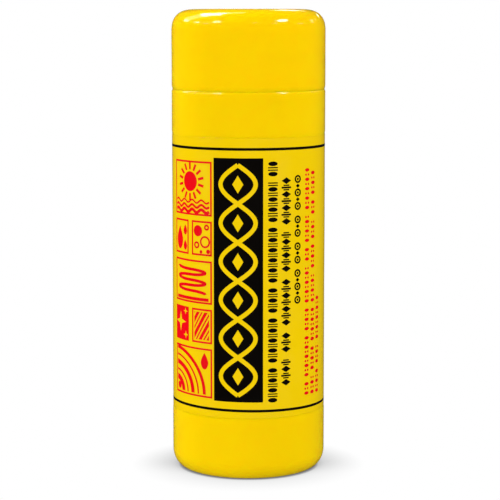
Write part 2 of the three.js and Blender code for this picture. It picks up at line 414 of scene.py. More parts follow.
def print_on(bm, s, layer):
    """Wraps flat shapes round the film as solid ink. X runs round the film and Y up it."""
    column, row, least_edge = 1.2 * MM, 3 * MM, 0.003 * MM
    for normal, reach in ((Vector((1, 0, 0)), column), (Vector((0, 1, 0)), row)):
        away = [vert.co.dot(normal) for vert in bm.verts]
        for cut in range(math.ceil(min(away) / reach), math.ceil(max(away) / reach)):
            cut_through(bm, normal * cut * reach, normal)
    bmesh.ops.remove_doubles(bm, verts=bm.verts, dist=least_edge)
    made = bmesh.ops.extrude_face_region(bm, geom=bm.faces[:])["geom"]
    top = [part for part in made if isinstance(part, bmesh.types.BMVert)]
    bmesh.ops.translate(bm, verts=top, vec=(0, 0, s.ink))
    lowest, step = 0.5, 1.5  # of the layers above the film, in thicknesses of ink
    lift = s.ink * (lowest + step * layer)
    for vert in bm.verts:
        angle = vert.co.x / s.radius
        r = s.radius + lift + vert.co.z + lap_rise(s, angle)
        fall = s.skew * math.sin(angle) * (s.high - vert.co.y) / (s.high - s.low)
        vert.co = (r * math.sin(angle), -r * math.cos(angle), vert.co.y - fall)
    wander(bm, s.wave, BODY_WAVE_LENGTH)


def face_outwards(bm):
    """Turns the faces of each closed shell outwards."""
    bmesh.ops.recalc_face_normals(bm, faces=bm.faces)
    left = set(bm.faces)
    while left:
        shell, waiting = set(), [left.pop()]
        while waiting:
            face = waiting.pop()
            shell.add(face)
            beside = {other for edge in face.edges for other in edge.link_faces} & left
            left -= beside
            waiting.extend(beside)
        volume = sum(cone(face) for face in shell)
        if volume < 0:
            bmesh.ops.reverse_faces(bm, faces=list(shell))


def cone(face):
    """Three times the signed volume between a face and the origin."""
    return face.normal.dot(face.calc_center_median()) * face.calc_area()


def add_piece(name, bm, material, body, slot, *nodes):
    """Makes an object of a finished mesh, hangs it on the body it rides on, and hides the packed parts
    it replaces.
    """
    face_outwards(bm)
    for face in bm.faces:
        face.smooth = True
    for edge in bm.edges:
        if edge.is_manifold and edge.calc_face_angle(0) > CREASE:
            edge.smooth = False
    mesh = bpy.data.meshes.new(name)
    bm.to_mesh(mesh)
    bm.free()
    mesh.materials.append(material)
    piece = bpy.data.objects.new(name, mesh)
    bpy.context.scene.collection.objects.link(piece)
    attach(piece, body)
    if nodes:
        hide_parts(*nodes)
    return piece


# Materials


def new_group(name, inputs, outputs):
    """An empty shader node group with named inputs and outputs."""
    group = bpy.data.node_groups.new(name, "ShaderNodeTree")
    for label, kind, default in inputs:
        socket = group.interface.new_socket(name=label, in_out="INPUT", socket_type=kind)
        if default is not None:
            socket.default_value = default
    for label, kind in outputs:
        group.interface.new_socket(name=label, in_out="OUTPUT", socket_type=kind)
    return group, group.nodes.new("NodeGroupInput"), group.nodes.new("NodeGroupOutput")


def feed(tree, node, inputs):
    """Sets a node's inputs, or links those that get another node's output."""
    for label, value in inputs.items():
        if isinstance(value, bpy.types.NodeSocket):
            tree.links.new(value, node.inputs[label])
        else:
            node.inputs[label].default_value = value


def add_node(tree, kind, inputs):
    """Adds a node and feeds its inputs."""
    node = tree.nodes.new(kind)
    feed(tree, node, inputs)
    return node


def add_noise(tree, vector, scale, detail, roughness=0.5):
    """A noise texture read at a vector."""
    inputs = {"Vector": vector, "Scale": scale, "Detail": detail, "Roughness": roughness}
    return add_node(tree, "ShaderNodeTexNoise", inputs).outputs["Fac"]


def add_range(tree, value, low, high, to_low=0.0, to_high=1.0):
    """A value's range low..high mapped smoothly to another."""
    inputs = {"Value": value, "From Min": low, "From Max": high, "To Min": to_low, "To Max": to_high}
    node = add_node(tree, "ShaderNodeMapRange", inputs)
    node.interpolation_type = "SMOOTHSTEP"
    return node.outputs["Result"]


def add_math(tree, operation, first, second):
    """A sum, product or other operation of two values."""
    node = add_node(tree, "ShaderNodeMath", {0: first, 1: second})
    node.operation = operation
    return node.outputs[0]


def add_mix(tree, factor, first, second):
    """A mix of two colours."""
    node = tree.nodes.new("ShaderNodeMix")
    node.data_type = "RGBA"
    feed(tree, node, {"Factor": factor})
    for label, value in (("A", first), ("B", second)):
        socket = next(s for s in node.inputs if s.name == label and s.type == "RGBA")
        socket.default_value = (*value, 1)
    return next(s for s in node.outputs if s.type == "RGBA")


def moulded_gloss():
    """Fine unevenness of a glossy surface: orange peel, handling smudges and hair scratches."""
    name = "moulded_gloss"
    if name in bpy.data.node_groups:
        return bpy.data.node_groups[name]
    inputs = (
        ("Coordinates", "NodeSocketVector", None),
        ("Peel Scale", "NodeSocketFloat", 500.0),
        ("Low Roughness", "NodeSocketFloat", 0.12),
        ("High Roughness", "NodeSocketFloat", 0.22),
    )
    outputs = (
        ("Tone", "NodeSocketFloat"),
        ("Roughness", "NodeSocketFloat"),
        ("Height", "NodeSocketFloat"),
    )
    group, given, result = new_group(name, inputs, outputs)
    where = given.outputs["Coordinates"]
    tone = add_range(group, add_noise(group, where, 26, 2), 0.3, 0.7)
    smudge = add_range(group, add_noise(group, where, 85, 4, 0.6), 0.42, 0.72)
    low, high = given.outputs["Low Roughness"], given.outputs["High Roughness"]
    roughness = add_range(group, smudge, 0.0, 1.0, low, high)

    peel = add_noise(group, where, given.outputs["Peel Scale"], 1.5)
    slant = {"Vector": where, "Scale": (1, 1, 0.04), "Rotation": (0.35, 0.2, 0)}
    along = add_node(group, "ShaderNodeMapping", slant).outputs["Vector"]
    hair = add_range(group, add_noise(group, along, 1500, 2), 0.68, 0.74, 0.0, 0.25)
    height = add_math(group, "SUBTRACT", peel, hair)
    feed(group, result, {"Tone": tone, "Roughness": roughness, "Height": height})
    return group


def sponge_pores():
    """The fine open pores of a synthetic chamois, and the nap between them."""
    name = "sponge_pores"
    if name in bpy.data.node_groups:
        return bpy.data.node_groups[name]
    inputs = (("Coordinates", "NodeSocketVector", None), ("Pore Scale", "NodeSocketFloat", 1500.0))
    outputs = (("Pores", "NodeSocketFloat"), ("Height", "NodeSocketFloat"))
    group, given, result = new_group(name, inputs, outputs)
    where = given.outputs["Coordinates"]
    inputs = {"Vector": where, "Scale": given.outputs["Pore Scale"]}
    cells = add_node(group, "ShaderNodeTexVoronoi", inputs)
    holes = add_range(group, cells.outputs["Distance"], 0.16, 0.42, 1.0, 0.0)
    patches = add_range(group, add_noise(group, where, 420, 3), 0.38, 0.62, 0.25, 1.0)
    pores = add_math(group, "MULTIPLY", holes, patches)
    nap = add_noise(group, where, 5200, 3, 0.65)
    height = add_math(group, "SUBTRACT", add_math(group, "MULTIPLY", nap, 0.45), pores)
    feed(group, result, {"Pores": pores, "Height": height})
    return group


def new_material(name):
    """A node material, its tree and its shader."""
    material = bpy.data.materials.new(name)
    material.use_nodes = True
    return material, material.node_tree, material.node_tree.nodes["Principled BSDF"]


def add_bump(tree, shader, height, strength, distance):
    """Raises a shader's surface by a height."""
    inputs = {"Height": height, "Strength": strength, "Distance": distance}
    bump = add_node(tree, "ShaderNodeBump", inputs)
    feed(tree, shader, {"Normal": bump.outputs["Normal"]})


def place_group(tree, group, settings):
    """Places a node group that reads Object coordinates."""
    node = tree.nodes.new("ShaderNodeGroup")
    node.node_tree = group
    where = tree.nodes.new("ShaderNodeTexCoord")
    feed(tree, node, {"Coordinates": where.outputs["Object"], **settings})
    return node


def glossy_material(name, first, second, peel_scale, roughness, bump, ior, depth=0.0):
    """A glossy surface of two close colours, such as moulded plastic, film or ink."""
    if name in bpy.data.materials:
        return bpy.data.materials[name]
    material, tree, shader = new_material(name)
    settings = {"Peel Scale": peel_scale, "Low Roughness": roughness[0], "High Roughness": roughness[1]}
    gloss = place_group(tree, moulded_gloss(), settings)
    looks = {
        "Base Color": add_mix(tree, gloss.outputs["Tone"], first, second),
        "Roughness": gloss.outputs["Roughness"],
        "IOR": ior,
        "Subsurface Weight": depth,
        "Subsurface Radius": (1.5 * MM, 1.1 * MM, 0.3 * MM),
        "Subsurface Scale": 1,
    }
    feed(tree, shader, looks)
    add_bump(tree, shader, gloss.outputs["Height"], bump, 0.1 * MM)
    return material


def second_tone(shade, share, lift=0.0):
    """A tone slightly deeper or lighter than a surface's first."""
    return [share * channel + lift for channel in shade]


def plastic_material(name, shade):
    """Glossy polyethylene, which light enters a little."""
    deeper = second_tone(shade, 0.97)
    return glossy_material(
        name, shade, deeper, peel_scale=420, roughness=(0.02, 0.06), bump=0.02, ior=1.5, depth=1.0
    )


def film_material():
    """Glossy film, printed yellow all over."""
    shade = bpy.context.scene.canister_finishes.film
    deeper = second_tone(shade, 0.97)
    return glossy_material(
        "glossy_film", shade, deeper, peel_scale=260, roughness=(0.08, 0.14), bump=0.04, ior=1.40
    )


def ink_material(slot):
    """Satin ink of the slot black_ink or red_ink, in the colour of that name."""
    shade = getattr(bpy.context.scene.canister_finishes, slot)
    lighter = second_tone(shade, 1.12, 0.0004)
    name = slot.replace("ink", "print")
    return glossy_material(
        name, shade, lighter, peel_scale=900, roughness=(0.14, 0.22), bump=0.05, ior=1.22
    )


def cloth_material():
    """Matt, finely porous, damp cloth."""
    shades = bpy.context.scene.canister_finishes
    material, tree, shader = new_material("damp_chamois")
    pores = place_group(tree, sponge_pores(), {"Pore Scale": 1500})
    looks = {
        # The pores' darker colour is painted shade inside those hollows, which the bump also lowers.
        "Base Color": add_mix(tree, pores.outputs["Pores"], shades.cloth, shades.cloth_pore_shade),
        "Roughness": 0.78,
        "Sheen Weight": 0.25,
        "Sheen Roughness": 0.5,
        "Subsurface Weight": 0.12,
        "Subsurface Radius": (1.2 * MM, 0.8 * MM, 0.4 * MM),
        "Subsurface Scale": 1,
    }
    feed(tree, shader, looks)
    add_bump(tree, shader, pores.outputs["Height"], 0.7, 0.25 * MM)
    return material


# Pieces


def add_print(context, name, bm, slot, layer=0):
    """Makes a piece of flat shapes printed on the film, in an ink or in the film's own yellow."""
    print_on(bm, context.scene.film_sizes, layer)
    material = film_material() if slot == "printed_film" else ink_material(slot)
    add_piece(name, bm, material, "canister", slot)


class CANISTER_OT_body(Operator):
    """Make the blow-moulded canister with its panel, shoulder and beaded neck"""

    bl_idname = "canister.body"
    bl_label = "Canister"

    def execute(self, context):
        s = context.scene.canister_sizes
        cap = context.scene.cap_sizes
        shoulder = cap_low.z + cap.rim_lift - s.seam_gap
        inside = s.radius - s.wall
        bead_radius = s.radius - cap.wall - cap.bead_clearance
        neck = bead_radius - s.bead_height
        bore = neck - s.neck_wall
        foot_outer = s.radius - s.corner_across
        foot_inner = foot_outer - s.foot_width
        floor = s.push_up + s.wall
        panel_low = film_low.z - s.panel_margin
        panel_high = film_high.z + s.panel_margin
        panel = s.radius - s.panel_depth
        under_shoulder = shoulder - s.wall
        lip = s.neck_wall / 2
        lip_steps = 12
        profile = [
            (0, s.push_up),
            (foot_inner - s.push_up_slope, s.push_up),
            (foot_inner, 0),
            *reversed(rounded(foot_outer, s.corner_up, s.corner_across, -s.corner_up, steps=16)),
            (s.radius, panel_low - s.panel_step),
            (panel, panel_low),
            (panel, panel_high),
            (s.radius, panel_high + s.panel_step),
            *rounded(
                s.radius - s.shoulder_across,
                shoulder - s.shoulder_up,
                s.shoulder_across,
                s.shoulder_up,
                s.shoulder_exponent,
            ),
            (neck + s.neck_root, shoulder),
            (neck, shoulder + s.neck_root),
            *bead(neck, shoulder + s.seal_bead_up, s.bead_height, s.bead_width),
            *bead(neck, s.neck_top - s.snap_bead_down, s.bead_height, s.bead_width),
            *[
                (bore + lip + lip * math.cos(a), s.neck_top - lip + lip * math.sin(a))
                for a in [HALF_TURN * i / lip_steps for i in range(lip_steps + 1)]
            ],
            (bore, under_shoulder),
            (inside, under_shoulder - (inside - bore)),
            (inside, panel_high + s.panel_step),
            (panel - s.wall, panel_high),
            (panel - s.wall, panel_low),
            (inside, panel_low - s.panel_step),
            *rounded(foot_outer, s.corner_up, s.corner_across - s.wall, s.wall - s.corner_up, steps=16),
            (foot_inner, s.wall),
            (foot_inner - s.push_up_slope, floor),
            (0, floor),
        ]
        bm = lathe(profile)
        self.add_parting_line(bm, s, panel_low, panel_high)
        wander(bm, s.wave, BODY_WAVE_LENGTH)
        for vert in bm.verts:
            vert.co.z = max(vert.co.z, 0)
        plastic = plastic_material("blown_plastic", context.scene.canister_finishes.body)
        add_piece("canister_shell", bm, plastic, "canister", "yellow_plastic", "canister_body")
        return {"FINISHED"}

    def add_parting_line(self, bm, s, panel_low, panel_high):
        """Raises the fine ridge that the mould's halves leave down both sides and across the base."""
        for side in (-s.parting_width, s.parting_width):
            cut_through(bm, (0, side, 0), (0, 1, 0))
        bm.normal_update()
        for vert in bm.verts:
            on_line = abs(vert.co.y) < s.parting_width / 4 and not panel_low <= vert.co.z <= panel_high
            outwards = Vector((vert.co.x, 0, 0)).dot(vert.normal) > 0
            under = vert.normal.z < -0.5 and vert.co.z < s.wall + s.push_up / 2
            if on_line and (outwards or under):
                vert.co += vert.normal * s.parting_line


class CANISTER_OT_cap(Operator):
    """Make the push-on cap with its domed crown and snap groove"""

    bl_idname = "canister.cap"
    bl_label = "Push-on cap"

    gate_floor_share = 0.8

    def execute(self, context):
        s = context.scene.cap_sizes
        body = context.scene.canister_sizes
        radius = body.radius
        bore = radius - s.wall
        rim, top = cap_low.z + s.rim_lift, cap_high.z
        edge = top - s.crown_rise
        under = edge - s.crown_wall
        groove = body.neck_top - body.snap_bead_down
        half = s.groove_width / 2
        corner = (radius - s.crown_across, edge - s.crown_up)
        across, up = s.crown_across - s.wall, s.crown_up - s.crown_wall
        dome = radius - s.crown_across
        dome_radii = self.dome_radii(dome, s.gate_radius)
        domed = [(r, edge + s.crown_rise * (1 - (r / dome) ** 2)) for r in dome_radii]
        profile = [
            (0, under),
            *reversed(rounded(*corner, across, up, s.crown_exponent, steps=16)),
            (bore, groove + half),
            (bore + s.groove_depth, groove + half / 2),
            (bore + s.groove_depth, groove - half / 2),
            (bore, groove - half),
            (bore, rim + s.lead_in_up),
            (bore + s.lead_in, rim),
            *reversed(
                rounded(radius - s.rim_across, rim + s.rim_up, s.rim_across, -s.rim_up, s.rim_exponent)
            ),
            *rounded(*corner, s.crown_across, s.crown_up, s.crown_exponent, steps=20),
            *domed,
            (s.gate_radius * self.gate_floor_share, top - s.gate_depth),
            (0, top - s.gate_depth),
        ]
        bm = lathe(profile)
        wander(bm, s.wave, CAP_WAVE_LENGTH)
        plastic = plastic_material("moulded_plastic", context.scene.canister_finishes.cap)
        add_piece("cap_shell", bm, plastic, "cap", "yellow_plastic", "push_on_cap")
        return {"FINISHED"}

    def dome_radii(self, edge, gate, steps=6):
        """Radii from just inside the crown's edge to the rim of the gate mark."""
        return [edge + (gate - edge) * i / steps for i in range(1, steps + 1)]


class CANISTER_OT_film(Operator):
    """Wrap the film round the panel, with one end glued over the other at the back"""

    bl_idname = "canister.film"
    bl_label = "Film"

    def execute(self, context):
        s = context.scene.film_sizes
        half_lap = s.lap / 2 / s.radius
        edge = s.thickness / 3
        columns, rows = 400, 45
        rise = [s.low + edge + (s.high - s.low - 2 * edge) * i / rows for i in range(rows + 1)]
        section = [
            (-s.thickness + edge, s.low),
            (-edge, s.low),
            *[(0, z) for z in rise],
            (-edge, s.high),
            (-s.thickness + edge, s.high),
            *[(-s.thickness, z) for z in reversed(rise)],
        ]
        bm = slab(section, columns, FULL_TURN + 2 * half_lap)
        for vert in bm.verts:
            angle = vert.co.x - HALF_TURN - half_lap
            r = s.radius + vert.co.y + (lap_rise(s, angle) if angle > 0 else 0)
            vert.co = (r * math.sin(angle), -r * math.cos(angle), vert.co.z)
        wander(bm, s.wave, BODY_WAVE_LENGTH)
        add_piece("film_wrap", bm, film_material(), "canister", "printed_film", "label_film")
        return {"FINISHED"}


class CANISTER_OT_rings(Operator):
    """Print the two black rings round the film, up to its over end"""

    bl_idname = "canister.rings"
    bl_label = "Printed rings"

    def execute(self, context):
        s = context.scene.film_sizes
        bm = bmesh.new()
        around = FULL_TURN * s.radius
        for middle in (s.high - s.top_ring_in, s.low + s.low_ring_in):
            flat_bar(bm, s.lap / 2, middle, around - s.line, s.ring_width)
        add_print(context, "printed_rings", bm, "black_ink")
        return {"FINISHED"}


class CANISTER_OT_panel(Operator):
    """Print the black panel and the twisted chain left open on it"""

    bl_idname = "canister.panel"
    bl_label = "Printed panel"

    link_steps = 30
    lozenge_shares = (0.62, 0.46)  # of the chain's swing and of a link's height

    def execute(self, context):
        s = context.scene.film_sizes
        low, high = art_range(s)
        middle = s.panel_left + s.panel_width / 2
        bm = bmesh.new()
        flat_bar(bm, middle, (low + high) / 2, s.panel_width, high - low)
        add_print(context, "printed_panel", bm, "black_ink")

        foot, run = low + s.chain_margin, high - low - 2 * s.chain_margin
        swing = (s.chain_width - s.chain_stroke) / 2
        link = run / s.chain_links
        for layer, side, name in ((1, 1, "printed_chain_under"), (2, -1, "printed_chain_over")):
            bm = bmesh.new()

            def strand(t, side=side):
                return (middle + side * swing * math.sin(HALF_TURN * s.chain_links * t), foot + run * t)

            flat_stroke(bm, strand, s.chain_stroke, self.link_steps * s.chain_links)
            if layer == 1:
                wide, tall = self.lozenge_shares[0] * swing, self.lozenge_shares[1] * link
                for i in range(s.chain_links):
                    flat_lozenge(bm, middle, foot + link * (i + 0.5), wide, tall)
            add_print(context, name, bm, "printed_film", layer)
        return {"FINISHED"}


def art_range(s):
    """Lowest and highest height of the artwork between the two rings."""
    return s.low + s.low_ring_in + s.art_inset, s.high - s.top_ring_in - s.art_inset


class Tile(NamedTuple):
    """The edges of a tile on the flat film."""

    left: float
    right: float
    low: float
    high: float

    @property
    def wide(self):
        return self.right - self.left

    @property
    def tall(self):
        return self.high - self.low

    @property
    def middle(self):
        return (self.left + self.right) / 2, (self.low + self.high) / 2

    def at(self, x_share, y_share):
        """The point at those shares of the tile's width and height."""
        return self.left + x_share * self.wide, self.low + y_share * self.tall


class CANISTER_OT_tiles(Operator):
    """Print the column of red framed tiles"""

    bl_idname = "canister.tiles"
    bl_label = "Printed tiles"

    row_shares = (0.25, 0.16, 0.20, 0.16, 0.23)
    wave_widths = (1.6 * MM, 1.2 * MM, 0.9 * MM)
    arc_widths = (2.8 * MM, 1.0 * MM, 2.4 * MM, 1.0 * MM, 1.8 * MM)
    # Places and sizes as shares of the tile's width and height, and whether a bubble is solid.
    small_drops = ((0.78, 0.70, 0.25), (0.78, 0.26, 0.25))
    bubble_places = (
        (0.33, 0.71, 0.22, True),
        (0.68, 0.40, 0.24, False),
        (0.27, 0.30, 0.14, False),
        (0.76, 0.82, 0.12, False),
        (0.49, 0.11, 0.07, True),
        (0.83, 0.13, 0.09, True),
    )
    star_places = ((0.42, 0.54, 0.40), (0.80, 0.17, 0.16), (0.78, 0.86, 0.14))
    frame_clearance = 1.6  # from a tile's edge to what lies inside its frame, in widths of its line

    def execute(self, context):
        s = context.scene.film_sizes
        panel_low, panel_high = art_range(s)
        low, high = panel_low + s.tiles_low_in, panel_high - s.tiles_top_in
        left, right = s.tiles_left, s.tiles_left + s.tiles_width
        middle = (left + right) / 2
        gap = s.tile_gap / 2
        tall = high - low - s.tile_gap * (len(self.row_shares) - 1)
        top = high
        rows = []
        for share in self.row_shares:
            rows.append((top - share * tall, top))
            top -= share * tall + s.tile_gap
        bm = bmesh.new()
        self.sun(bm, s, Tile(left, right, *rows[0]))
        self.drops(bm, s, Tile(left, middle - gap, *rows[1]))
        self.bubbles(bm, s, Tile(middle + gap, right, *rows[1]))
        self.folds(bm, s, Tile(left, right, *rows[2]))
        self.solid_tile(bm, Tile(left, middle - gap, *rows[3]))
        self.stripes(bm, s, Tile(middle + gap, right, *rows[3]))
        self.arcs(bm, s, Tile(left, right, *rows[4]))
        add_print(context, "printed_tiles", bm, "red_ink")
        bm = bmesh.new()
        self.stars(bm, Tile(left, middle - gap, *rows[3]))
        add_print(context, "printed_stars", bm, "printed_film", 1)
        return {"FINISHED"}

    def solid_tile(self, bm, tile):
        return flat_bar(bm, *tile.middle, tile.wide, tile.tall)

    def frame_tile(self, bm, s, tile):
        hollow(bm, self.solid_tile(bm, tile), s.line)

    def sun(self, bm, s, tile):
        """A sun with rays over three waves."""
        self.frame_tile(bm, s, tile)
        x, y = tile.at(0.5, 0.62)
        radius, rays, ray_width, ray_length, away = 4.8 * MM, 14, 1.3 * MM, 3.4 * MM, 7.4 * MM
        flat_disc(bm, x, y, radius, radius, 32)
        for i in range(rays):
            angle = FULL_TURN * i / rays
            place = (x + away * math.sin(angle), y + away * math.cos(angle))
            flat_bar(bm, *place, ray_width, ray_length, -angle)
        lowest, apart = 2.2, 2.3
        for i, width in enumerate(self.wave_widths):
            self.wave(bm, s, tile, tile.low + (lowest + apart * i) * MM, width)

    def wave(self, bm, s, tile, height, width):
        """A wavy line across a tile, clear of its frame."""
        waves, swing = 4, 0.75 * MM
        clearance = self.frame_clearance * s.line
        left, right = tile.left + clearance, tile.right - clearance

        def route(t):
            return (left + (right - left) * t, height + swing * math.sin(FULL_TURN * waves * t))

        flat_stroke(bm, route, width, 64)

    def drops(self, bm, s, tile):
        """One large drop beside small ones."""
        self.frame_tile(bm, s, tile)
        flat_drop(bm, *tile.at(0.38, 0.46), 0.5 * tile.wide, 0.68 * tile.tall)
        slim = 1.6  # how many times as high as wide a small drop is
        for x_share, y_share, size in self.small_drops:
            place = tile.at(x_share, y_share)
            flat_drop(bm, *place, size * tile.wide, slim * size * tile.wide)

    def bubbles(self, bm, s, tile):
        """Bubbles, some solid and some outlined."""
        self.frame_tile(bm, s, tile)
        for x_share, y_share, r_share, solid in self.bubble_places:
            r = r_share * tile.wide
            made = flat_disc(bm, *tile.at(x_share, y_share), r, r, 28)
            if not solid:
                hollow(bm, made, s.line)

    def folds(self, bm, s, tile):
        """A cloth folded back and forth into a stack."""
        self.frame_tile(bm, s, tile)
        x = tile.middle[0]
        layers, strand, base, squareness = 5, 1.5 * MM, 1.6 * MM, 0.45
        reach, foot, rise = 0.36, 0.22, 0.62  # of the stack, as shares of the tile
        base_up, base_width = 0.1, 0.86  # the same of the base under it

        def route(t):
            swing = math.cos(HALF_TURN * layers * t)
            across = math.copysign(abs(swing) ** squareness, swing)
            return (x + reach * tile.wide * across, tile.low + (foot + rise * t) * tile.tall)

        flat_stroke(bm, route, strand, 240)
        flat_bar(bm, x, tile.low + base_up * tile.tall, base_width * tile.wide, base)

    def stars(self, bm, tile):
        """Three four-pointed stars."""
        for x_share, y_share, r_share in self.star_places:
            flat_star(bm, *tile.at(x_share, y_share), r_share * tile.wide)

    def stripes(self, bm, s, tile):
        """Slanting stripes, thick and thin by turns, cut off inside the frame."""
        self.frame_tile(bm, s, tile)
        stripes, thick, thin, slant = 9, 1.7 * MM, 0.8 * MM, math.radians(-32)
        outside, fitting = 2, 5.2  # stripes that start left of the tile, and that fit across it
        inset = 1.8 * s.line
        for i in range(stripes):
            x = tile.left + tile.wide * (i - outside) / fitting
            made = flat_bar(bm, x, tile.middle[1], thin if i % 2 else thick, 2 * tile.tall, slant)
            trim(bm, made, tile.left + inset, tile.right - inset, tile.low + inset, tile.high - inset)

    def arcs(self, bm, s, tile):
        """Wiped arcs round one corner, with a drop in the other."""
        self.frame_tile(bm, s, tile)
        clearance = self.frame_clearance * s.line
        x, y = tile.left + clearance, tile.low + clearance
        least, apart, hub_in, hub = 6.2, 3.7, 2.2 * MM, 1.8 * MM
        for i, width in enumerate(self.arc_widths):
            r = (least + apart * i) * MM

            def route(t, r=r):
                return (x + r * math.sin(QUARTER_TURN * t), y + r * math.cos(QUARTER_TURN * t))

            flat_stroke(bm, route, width, 36)
        flat_disc(bm, x + hub_in, y + hub_in, hub, hub)
        drop_in, drop_down, drop_width, drop_height = 4.4 * MM, 6.2 * MM, 4.6 * MM, 8.2 * MM
        flat_drop(bm, tile.right - drop_in, tile.high - drop_down, drop_width, drop_height)


class CANISTER_OT_rows(Operator):
    """Print the rows of small ornament to the right of the panel"""

    bl_idname = "canister.rows"
    bl_label = "Printed rows"

    # Each row: its middle round the film, its foot, top and width, and how many ornaments each run has.
    black_rows = (
        (11.8 * MM, 38.4 * MM, 154.3 * MM, 4.9 * MM, (7, 9, 5, 11, 8, 3)),
        (18.8 * MM, 46.3 * MM, 146.5 * MM, 5.2 * MM, (4, 3, 7, 6, 7)),
        (25.4 * MM, 85.8 * MM, 147.0 * MM, 3.9 * MM, (5, 3, 3, 5)),
    )
    red_rows = (
        (31.8 * MM, 40.0 * MM, 150.5 * MM, 3.3 * MM, (3, 9, 5, 8, 3, 6, 9)),
        (36.4 * MM, 40.0 * MM, 149.0 * MM, 3.3 * MM, (4, 5, 7, 6, 5, 4, 3, 5)),
        (41.0 * MM, 40.0 * MM, 88.0 * MM, 3.3 * MM, (5, 4, 9)),
    )

    def execute(self, context):
        black_ornaments = (self.bead_and_reel, self.lozenge_and_bar, self.target_and_lozenge)
        red_ornaments = (self.seed_and_dots,) * len(self.red_rows)
        for name, ink, rows, ornaments in (
            ("printed_black_rows", "black_ink", self.black_rows, black_ornaments),
            ("printed_red_rows", "red_ink", self.red_rows, red_ornaments),
        ):
            bm = bmesh.new()
            for row, ornament in zip(rows, ornaments):
                self.print_row(bm, row, ornament)
            add_print(context, name, bm, ink)
        return {"FINISHED"}

    def print_row(self, bm, row, ornament):
        """Spaces out a row's ornament in its runs, with one place left open between runs."""
        x, low, high, width, runs = row
        step = (high - low) / (sum(runs) + len(runs) - 1)
        place = 0
        for run in runs:
            for i in range(run):
                ornament(bm, x, low + (place + i + 0.5) * step, step, width, i)
            place += run + 1

    def bead_and_reel(self, bm, x, y, step, width, i):
        """A bead, or every second time a pair of bars."""
        if i % 2:
            for side in (-0.24, 0.24):
                flat_bar(bm, x, y + side * step, width, 0.24 * step)
        else:
            flat_disc(bm, x, y, width * 0.48, step * 0.46, 16)

    def lozenge_and_bar(self, bm, x, y, step, width, i):
        """A lozenge, or every second time a long bar between two short ones."""
        if i % 2:
            flat_bar(bm, x, y, width, 0.28 * step)
            for side in (-0.33, 0.33):
                flat_bar(bm, x, y + side * step, width * 0.6, 0.2 * step)
        else:
            flat_lozenge(bm, x, y, width, step * 0.98)

    def target_and_lozenge(self, bm, x, y, step, width, i):
        """A ring with a dot in it, or every second time a small lozenge."""
        if i % 2:
            flat_lozenge(bm, x, y, width * 0.62, step * 0.62)
        else:
            made = flat_disc(bm, x, y, width * 0.5, width * 0.5, 20)
            hollow(bm, made, width * 0.22)
            flat_disc(bm, x, y, width * 0.16, width * 0.16, 10)

    def seed_and_dots(self, bm, x, y, step, width, i):
        """A seed, or every second time two dots side by side."""
        if i % 2:
            for side in (-0.27, 0.27):
                flat_disc(bm, x + side * width, y, width * 0.19, step * 0.26, 8)
        else:
            flat_disc(bm, x, y, width * 0.5, step * 0.38, 12)


class CANISTER_OT_cloth(Operator):
    """Fold the cloth once and roll it up"""

    bl_idname = "canister.cloth"
    bl_label = "Rolled cloth"

    steps_per_turn = 96
    edge_waves = 9  # waves of the free edges in a turn

    def execute(self, context):
        s = context.scene.cloth_sizes
        half = s.thickness + s.leaf_gap / 2
        pitch = 2 * half + s.turn_gap
        first = s.eye + half
        last = math.sqrt(first**2 + pitch * s.sheet_length / HALF_TURN)
        turns = (last - first) / pitch
        tall = cloth_high.z - cloth_low.z
        bm = slab(self.section(s, half, tall), int(turns * self.steps_per_turn), turns)
        tail = FULL_TURN * turns
        centre = Vector((math.cos(tail), math.sin(tail), 0)) * -pitch / 4
        for vert in bm.verts:
            turn, out, up = vert.co
            r, angle = first + pitch * turn + out, FULL_TURN * turn
            rise = s.ragged * (up / tall) ** 3 * noise.noise(Vector((turn * self.edge_waves, 2.5, 0)))
            place = Vector((r * math.cos(angle), r * math.sin(angle), cloth_low.z + up + rise)) + centre
            radial = Vector((place.x, place.y, 0)).normalized()
            vert.co = place + radial * s.wander * noise.noise(place / ROLL_WAVE_LENGTH)
        roll = add_piece("chamois_roll", bm, cloth_material(), "roll", "damp_cloth", "rolled_chamois")
        return {"FINISHED"}

    def section(self, s, half, tall, row=9 * MM):
        """The folded cloth across one turn: up the outer leaf's outside, then back round the slit."""
        short = tall - s.fold_offset
        slit = s.leaf_gap / 2
        rows = int((short - half) / row)
        rise = [i / rows for i in range(rows)]
        outer_rise = [half + share * (tall - s.edge_round - half) for share in rise]
        inner_rise = [half + share * (short - s.edge_round - half) for share in rise]
        fold_steps = 12
        fold = [HALF_TURN + HALF_TURN * i / fold_steps for i in range(1, fold_steps)]
        return [
            *[(half, z) for z in outer_rise],
            *self.free_edge(slit, half, tall, s.edge_round),
            *[(slit, z) for z in reversed(outer_rise)],
            *[(slit * math.cos(a), half + slit * math.sin(a)) for a in (-QUARTER_TURN, -HALF_TURN)],
            *[(-slit, z) for z in inner_rise[1:]],
            *self.free_edge(-half, -slit, short, s.edge_round),
            *[(-half, z) for z in reversed(inner_rise)],
            *[(half * math.cos(a), half + half * math.sin(a)) for a in fold],
        ]

    def free_edge(self, inner, outer, top, radius, steps=3):
        """The two rounded corners of a leaf's free edge, from its outer side to its inner side."""
        points = []
        for x, first in ((outer - radius, 0), (inner + radius, QUARTER_TURN)):
            for i in range(steps + 1):
                a = first + QUARTER_TURN * i / steps
                points.append((x + radius * math.cos(a), top - radius + radius * math.sin(a)))
        return points


